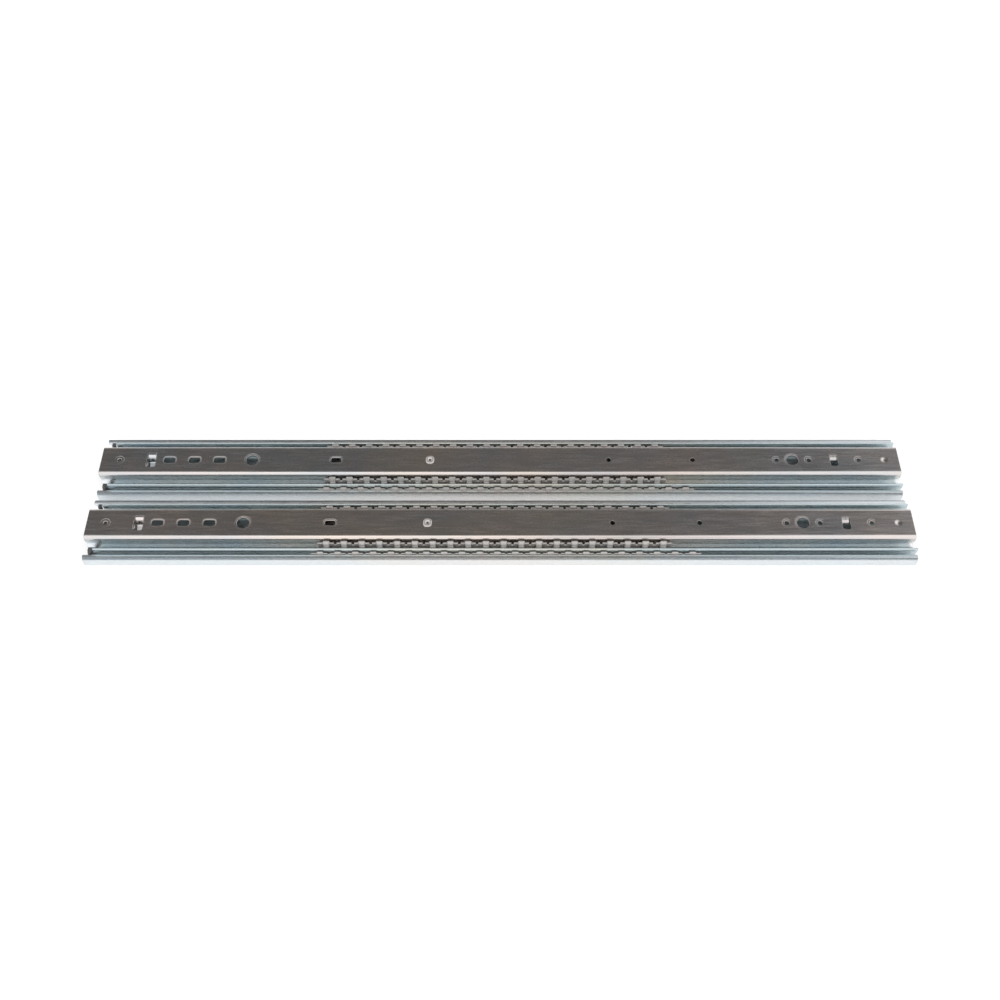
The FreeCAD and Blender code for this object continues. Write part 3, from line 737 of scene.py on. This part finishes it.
class Row(NamedTuple):
    """A cage and its balls: the balls' size and place, and the strip with its towers."""
    ball: float
    ball_y: float
    ball_z: float
    rear: float
    count: int
    strip_y: float
    sheet: float
    web_z: float
    top: float
    valley: float
    notch: float
    skirt: float
    edge: float

    def ball_x(self):
        """Places of the balls along the row."""
        return [self.rear + (n + 0.5) * PITCH for n in range(self.count)]


ROWS = {
    "outer": Row(ball=OUTER_BALL, ball_y=OUTER_BALL_Y, ball_z=OUTER_BALL_Z, rear=-137.85, count=22,
                 strip_y=21.6, sheet=0.7, web_z=2.0, top=12.8, valley=11.3, notch=1.3, skirt=0.6,
                 edge=0.15),
    "inner": Row(ball=INNER_BALL, ball_y=INNER_BALL_Y, ball_z=INNER_BALL_Z, rear=-133.3, count=20,
                 strip_y=15.5, sheet=1.1, web_z=5.0, top=17.6, valley=15.8, notch=2.4, skirt=1.9,
                 edge=0.22),
}
TOWER_SLIT = 0.75
TOWER_SHOULDER = 2.4
TOWER_FOOT = 2.6
CREST_HALF = 2.35
CREST_COUNT = 16
CAGE_BEND = 1.2
CAGE_BEND_INSIDE = 0.5
CAGE_BEND_STEPS = 5


def shrunk(outline, amount):
    """A clockwise outline with every side moved inwards."""
    result = []
    for before, here, after in zip(outline[-1:] + outline[:-1], outline, outline[1:] + outline[:1]):
        first = Vector(here) - Vector(before)
        second = Vector(after) - Vector(here)
        normal = Vector((-first.y, first.x)).normalized() + Vector((-second.y, second.x)).normalized()
        move = normal * (2 * amount / max(normal.length_squared, 1.4))
        result.append((here[0] - move.x, here[1] - move.y))
    return result


def cage_outline(row):
    """Outline in X and Z of a cage's flange: a tower at each ball, slit above the ball's window."""
    reach = row.ball / 2 + 0.15
    height = row.top - row.ball_z
    lean = math.asin(reach / math.hypot(TOWER_SLIT, height)) - math.atan2(TOWER_SLIT, height)
    window = row.ball_z - reach
    window_half = reach * (1 + math.sin(lean)) / math.cos(lean)
    half_tower = [
        (window_half - 0.35, window), (window_half, window + 0.3),
        (TOWER_SLIT, row.top - 0.15), (TOWER_SLIT + 0.1, row.top),
        (TOWER_SHOULDER - 0.4, row.top), (TOWER_SHOULDER, row.top - 0.4),
        (TOWER_FOOT, row.valley), (PITCH / 2 - 1.0, row.valley),
    ]
    outline = [(row.rear, row.web_z + row.sheet + 0.5)]
    for n, x in enumerate(row.ball_x()):
        before = row.valley - row.notch if n else row.valley
        after = row.valley - row.notch if n < row.count - 1 else row.valley
        outline += [(x - PITCH / 2, before), (x - PITCH / 2 + 0.7, before)]
        outline += [(x - half, z) for half, z in half_tower[::-1]]
        outline += [(x + half, z) for half, z in half_tower]
        outline.append((x + PITCH / 2 - 0.7, after))
    front = row.rear + row.count * PITCH
    return outline + [(front, row.valley), (front, row.web_z + row.sheet + 0.5)]


def crest(shell, x, y, low_half_y, top_half_y, low, top):
    """A crest on a cage tower: it narrows upwards to a rounded edge."""
    loops = []
    for narrower, half_y, z in ((0.0, low_half_y, low), (0.0, low_half_y, low + 0.2),
                                (0.15, top_half_y + 0.1, top - 0.35), (0.3, top_half_y, top - 0.1),
                                (0.55, 0.6 * top_half_y, top)):
        loop = []
        for n in range(CREST_COUNT):
            angle = 2 * math.pi * (n + 0.5) / CREST_COUNT
            wide = math.copysign(abs(math.cos(angle)) ** 0.4, math.cos(angle))
            deep = math.copysign(abs(math.sin(angle)) ** 0.4, math.sin(angle))
            loop.append((x + (CREST_HALF - narrower) * wide, y + half_y * deep, z))
        loops.append(loop)
    rings = shell.stack(loops)
    shell.faces.append(tuple(rings[-1]))
    shell.flat.append(tuple(rings[0][::-1]))


def cage_bend(centre_y, centre_z, radius):
    """The bend from a cage's web up into its flange."""
    points = []
    for n in range(CAGE_BEND_STEPS + 1):
        angle = UP * n / CAGE_BEND_STEPS - UP
        points.append((centre_y + radius * math.cos(angle), centre_z + radius * math.sin(angle)))
    return points


def cage(name, row):
    """A ball cage: a thin web, and on each side a flange with a crested tower at each ball."""
    shell = Shell()
    half = row.sheet / 2
    outline = cage_outline(row)
    small = shrunk(outline, row.edge)
    for side in (-1, 1):
        layers = []
        bevel = half - row.edge
        for shape, shift in ((small, -half), (outline, -bevel), (outline, bevel), (small, half)):
            layers.append(shell.add([(x, side * row.strip_y + shift, z) for x, z in shape]))
        for low, high in zip(layers, layers[1:]):
            for index in range(len(low)):
                after = (index + 1) % len(low)
                shell.flat.append((low[index], low[after], high[after], high[index]))
        shell.fill([small], layers[0], 1, (0, 2))
        shell.fill([small], layers[-1], -1, (0, 2))
        for x in row.ball_x():
            crest(shell, x, side * row.strip_y, row.skirt, half + 0.05, row.ball_z + row.ball / 2 + 0.1,
                  row.top + 0.1)
    web = cage_bend(row.strip_y + half - CAGE_BEND, row.web_z + CAGE_BEND, CAGE_BEND)
    web += cage_bend(row.strip_y - half - CAGE_BEND_INSIDE, row.web_z + row.sheet + CAGE_BEND_INSIDE,
                     CAGE_BEND_INSIDE)[::-1]
    loop = web + [(-y, z) for y, z in web[::-1]]
    front = row.rear + row.count * PITCH
    rings = shell.stack([[(x, y, z) for y, z in loop] for x in (row.rear, front)])
    shell.flat.append(tuple(rings[0][::-1]))
    shell.flat.append(tuple(rings[1]))
    return shell.mesh(name)


def ball_rows(name, row):
    """Two rows of round balls, one in each window of a cage."""
    shell = Shell()
    radius = row.ball / 2
    for side in (-1, 1):
        for x in row.ball_x():
            y, z = side * row.ball_y, row.ball_z
            loops = []
            for number in range(BALL_RINGS - 1, 0, -1):
                angle = math.pi * number / BALL_RINGS
                loop = []
                for column in range(BALL_COLUMNS):
                    around = 2 * math.pi * column / BALL_COLUMNS
                    loop.append((x + radius * math.sin(angle) * math.cos(around),
                                 y + radius * math.sin(angle) * math.sin(around),
                                 z + radius * math.cos(angle)))
                loops.append(loop)
            rings = shell.stack(loops)
            top, bottom = shell.add([(x, y, z + radius), (x, y, z - radius)])
            for column in range(BALL_COLUMNS):
                after = (column + 1) % BALL_COLUMNS
                shell.faces.append((top, rings[-1][column], rings[-1][after]))
                shell.faces.append((bottom, rings[0][after], rings[0][column]))
    return shell.mesh(name)


# Rivet, stop and bumper, as (radius, height) steps and boxes

RIVET_HEAD = [(1.5, 17.0), (1.5, 18.9), (3.3, 19.0), (3.35, 19.15), (3.2, 19.45), (2.85, 19.68),
              (2.35, 19.78), (1.85, 19.68), (1.45, 19.42), (1.15, 19.1), (0.8, 18.95), (0.3, 18.95)]
RIVET_TAIL = [(0.4, 16.4), (2.4, 16.42), (2.6, 16.6), (2.6, 17.0), (2.4, 17.18), (1.4, 17.19)]
STOP_STEPS = [(2.0, 3.12), (2.0, 4.55), (4.3, 4.62), (4.5, 4.8), (4.5, 14.1), (4.1, 14.5), (0.5, 14.5)]


def outer_channel(name):
    """The outer member with its stop lug."""
    holes = [(circle(x, 5.2), punched(OUTER_SHEET, 0.0)) for x in ACCESS_X]
    return joined(name, [
        member("outer", -HALF_LENGTH, HALF_LENGTH, outer_section, holes, OUTER_SHEET, 0.0),
        prism_along_x("lug", 299.75, 302.25, box_loop(-6.0, 0.1, 6.0, 2.7)),
    ])


def middle_channel(name):
    """The middle member with its two tabs."""
    top = MIDDLE_FLOOR + MIDDLE_SHEET
    wall = punched(top, MIDDLE_FLOOR)
    holes = [(rounded(x, 16.0, 12.0, 1.5), wall) for x in ACCESS_X]
    holes.append((rounded(REAR_WINDOW_X, 2.7, 9.0, 0.4), wall))
    return joined(name, [
        member("middle", MIDDLE_REAR, HALF_LENGTH, middle_section, holes, top, MIDDLE_FLOOR),
        prism_along_x("rear_tab", -292.05, -290.55, box_loop(-4.5, 1.9, 4.5, 4.5)),
        prism_along_x("front_tab", 303.3, 304.8, box_loop(-6.0, 3.2, 6.0, 9.4)),
    ])


def inner_channel(name):
    """The inner member with its tongue and hook."""
    return joined(name, [
        member("inner", -INNER_HALF, INNER_HALF, inner_section, inner_holes(), WEB_TOP, WEB_FLOOR,
               [dimple(DIMPLE_X, 6.0, 0.5)]),
        lance("tongue", TONGUE_X, width=6.0, opening=13.0, run=0.8, lean=math.radians(58), steep=3.4,
              slope=math.radians(14), foot=4.0, foot_share=0.66, hole_radius=1.1),
        lance("hook", HOOK_X, width=5.2, opening=11.5, run=0.6, lean=math.radians(12), steep=1.8,
              slope=math.radians(80), foot=1.2, foot_share=1.0, hole_radius=0.4),
    ])


def stake_rivet(name):
    """A rivet through the inner web, its head formed in four lobes."""
    return joined(name, [
        turned_shape("head", RIVET_X, RIVET_HEAD, 48, 4, -0.05, 1.15),
        turned_shape("tail", RIVET_X, RIVET_TAIL),
    ])


def shoulder_stop(name):
    """The shouldered rivet on the middle web that the inner member closes against."""
    return turned_shape(name, STOP_X, STOP_STEPS)


def bumper(name):
    """Rubber bumper with a post behind each wall of the middle member."""
    posts = [prism_along_x("post", -301.0, -299.2, box_loop(low, 1.65, high, 12.0, 0.8), 0.3)
             for low, high in ((-21.8, -18.6), (18.6, 21.8))]
    base = prism_along_x("base", -304.3, -297.3, box_loop(-15.4, 1.65, 15.4, 4.8, 0.5), 0.3)
    return joined(name, [*posts, base])


# The two slides

def place_piece(name, mesh, material, side, body, slot, node):
    """Puts a mesh on one slide as the visible piece for a node of the frame."""
    mesh.materials.append(material)
    piece = bpy.data.objects.new(name, mesh)
    piece.location = (0.0, side * SLIDE_Y * MM, 0.0)
    bpy.context.scene.collection.objects.link(piece)
    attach(piece, body)
    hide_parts(node)


for slide, side in SLIDES:
    for part, make, material, body, slot, node in (
        ("outer_channel", outer_channel, OUTER_ZINC, "outer_members", "outer_zinc", "outer_member"),
        ("middle_channel", middle_channel, MIDDLE_ZINC, f"{slide}_middle", "middle_zinc", "middle_member"),
        ("inner_channel", inner_channel, INNER_ZINC, f"{slide}_inner", "inner_zinc", "inner_member"),
    ):
        name = f"{slide}_{part}"
        place_piece(name, make(name), material, side, body, slot, f"{slide}_{node}")

    for kind, row in ROWS.items():
        body = f"{slide}_{kind}_ball_cage"
        name = f"{slide}_{kind}_retainer"
        place_piece(name, cage(name, row), CAGE_STEEL, side, body, "cage_steel", f"{slide}_{kind}_cage")
        name = f"{slide}_{kind}_ball_rows"
        place_piece(name, ball_rows(name, row), BALL_STEEL, side, body, "ball_steel",
                    f"{slide}_{kind}_balls")

    for part, make, material, body, slot, node in (
        ("stake_rivet", stake_rivet, RIVET_STEEL, f"{slide}_inner", "rivet_steel", "web_rivet"),
        ("shoulder_stop", shoulder_stop, RIVET_STEEL, f"{slide}_middle", "rivet_steel", "closing_stop"),
        ("rubber_bumper", bumper, RUBBER, "outer_members", "bumper_rubber", "rear_bumper"),
    ):
        name = f"{slide}_{part}"
        place_piece(name, make(name), material, side, body, slot, f"{slide}_{node}")


# Floor, light and camera

FLOOR_REACH = 6.0
FLOOR_DROP = 0.0002
FLOOR_COLOUR = (0.72, 0.72, 0.72, 1.0)
FLOOR_GLOW = 0.5
WHITE = (1.0, 1.0, 1.0, 1.0)
# The darker stretch high behind the rails that their webs mirror, its tint by X
DARK_TOWARDS = (-0.12, 0.62, 0.775)
DARK_EDGE = (0.70, 0.93)
DARK_REACH = (-0.3, 0.3)
DARK_STOPS = [
    (0.0, (0.124, 0.121, 0.119)),
    (0.30, (0.124, 0.121, 0.117)),
    (0.46, (0.158, 0.150, 0.139)),
    (0.62, (0.134, 0.131, 0.127)),
    (1.0, (0.128, 0.127, 0.129)),
]
# The bright studio, less bright round one X and low behind
DIP_X = 0.18
DIP_REACH = (0.03, 0.2)
DIP_STOPS = [(0.0, (0.76,) * 3), (1.0, (1.3,) * 3)]
BEHIND_REACH = (0.6, 0.85)
BEHIND_STOPS = [(0.0, (1.0,) * 3), (1.0, (0.5,) * 3)]
KEY_PLACE = (0.0, -0.9, 2.4)
KEY_SIZE = (2.8, 1.4)
KEY_POWER = 2.5
CAMERA_PLACE = (0.0, -0.5245, 0.7554)
CAMERA_TILT = 35.0
CAMERA_LENS = 43.49
CAMERA_SENSOR = 36.0
CAMERA_SHIFT = 0.0004


def build_floor():
    """A plain pale floor, white to the camera and in the metal but for its shadows."""
    mesh = bpy.data.meshes.new("floor")
    reach = FLOOR_REACH
    mesh.from_pydata([(-reach, -reach, 0), (reach, -reach, 0), (reach, reach, 0), (-reach, reach, 0)], [],
                     [(0, 1, 2, 3)])
    floor = bpy.data.objects.new("floor", mesh)
    floor.location.z = -FLOOR_DROP
    material, tree, shader = new_material("floor_paper")
    shader.inputs["Base Color"].default_value = FLOOR_COLOUR
    shader.inputs["Roughness"].default_value = 0.9
    shader.inputs["Specular IOR Level"].default_value = 0.1
    path = add_node(tree, "ShaderNodeLightPath").outputs
    pale = math_node(tree, "MAXIMUM", path["Is Camera Ray"], path["Is Glossy Ray"])
    shader.inputs["Emission Color"].default_value = WHITE
    tree.links.new(math_node(tree, "MULTIPLY", pale, FLOOR_GLOW), shader.inputs["Emission Strength"])
    mesh.materials.append(material)
    bpy.context.scene.collection.objects.link(floor)


def build_world():
    """A bright studio, darker high behind the object, white where the camera looks straight at it."""
    world = bpy.data.worlds.new("studio")
    bpy.context.scene.world = world
    world.use_nodes = True
    tree = world.node_tree
    direction = add_node(tree, "ShaderNodeTexCoord").outputs["Generated"]
    axes = split_axes(tree, direction)
    towards = add_node(tree, "ShaderNodeVectorMath", _operation="DOT_PRODUCT")
    tree.links.new(direction, towards.inputs[0])
    towards.inputs[1].default_value = DARK_TOWARDS
    shade = add_node(tree, "ShaderNodeMapRange", _interpolation_type="SMOOTHSTEP", From_Min=DARK_EDGE[0],
                     From_Max=DARK_EDGE[1], To_Min=1.0, To_Max=0.0)
    tree.links.new(towards.outputs["Value"], shade.inputs["Value"])
    spread = math_node(tree, "ABSOLUTE", math_node(tree, "SUBTRACT", axes["X"], DIP_X))
    dip = ramp(tree, remap(tree, spread, 0.0, 1.0, *DIP_REACH), DIP_STOPS)
    behind = ramp(tree, remap(tree, axes["Y"], 0.0, 1.0, *BEHIND_REACH), BEHIND_STOPS)
    bright = mix_colours(tree, "MULTIPLY", dip, behind, 1.0)
    dark = ramp(tree, remap(tree, axes["X"], 0.0, 1.0, *DARK_REACH), DARK_STOPS)
    sky = mix_colours(tree, "MIX", dark, bright, shade.outputs["Result"])
    path = add_node(tree, "ShaderNodeLightPath").outputs
    clear = math_node(tree, "MAXIMUM", path["Is Camera Ray"], path["Is Transmission Ray"])
    white = add_node(tree, "ShaderNodeRGB").outputs[0]
    white.default_value = WHITE
    tree.links.new(mix_colours(tree, "MIX", sky, white, clear), tree.nodes["Background"].inputs["Color"])


def build_lamp():
    """A soft rectangular lamp above and in front, aimed at the rails."""
    light = bpy.data.lights.new("key", "AREA")
    light.shape = "RECTANGLE"
    light.size, light.size_y = KEY_SIZE
    light.energy = KEY_POWER
    lamp = bpy.data.objects.new("key", light)
    lamp.location = KEY_PLACE
    lamp.rotation_euler = (-Vector(KEY_PLACE)).to_track_quat("-Z", "Y").to_euler()
    bpy.context.scene.collection.objects.link(lamp)


def build_camera():
    """The camera of the photo."""
    data = bpy.data.cameras.new("camera")
    data.sensor_width = CAMERA_SENSOR
    data.lens = CAMERA_LENS
    data.shift_y = CAMERA_SHIFT
    camera = bpy.data.objects.new("camera", data)
    camera.location = CAMERA_PLACE
    camera.rotation_euler = (math.radians(CAMERA_TILT), 0.0, 0.0)
    bpy.context.scene.collection.objects.link(camera)
    bpy.context.scene.camera = camera


build_floor()
build_world()
build_lamp()
build_camera()
bpy.context.scene.view_settings.view_transform = "Standard"
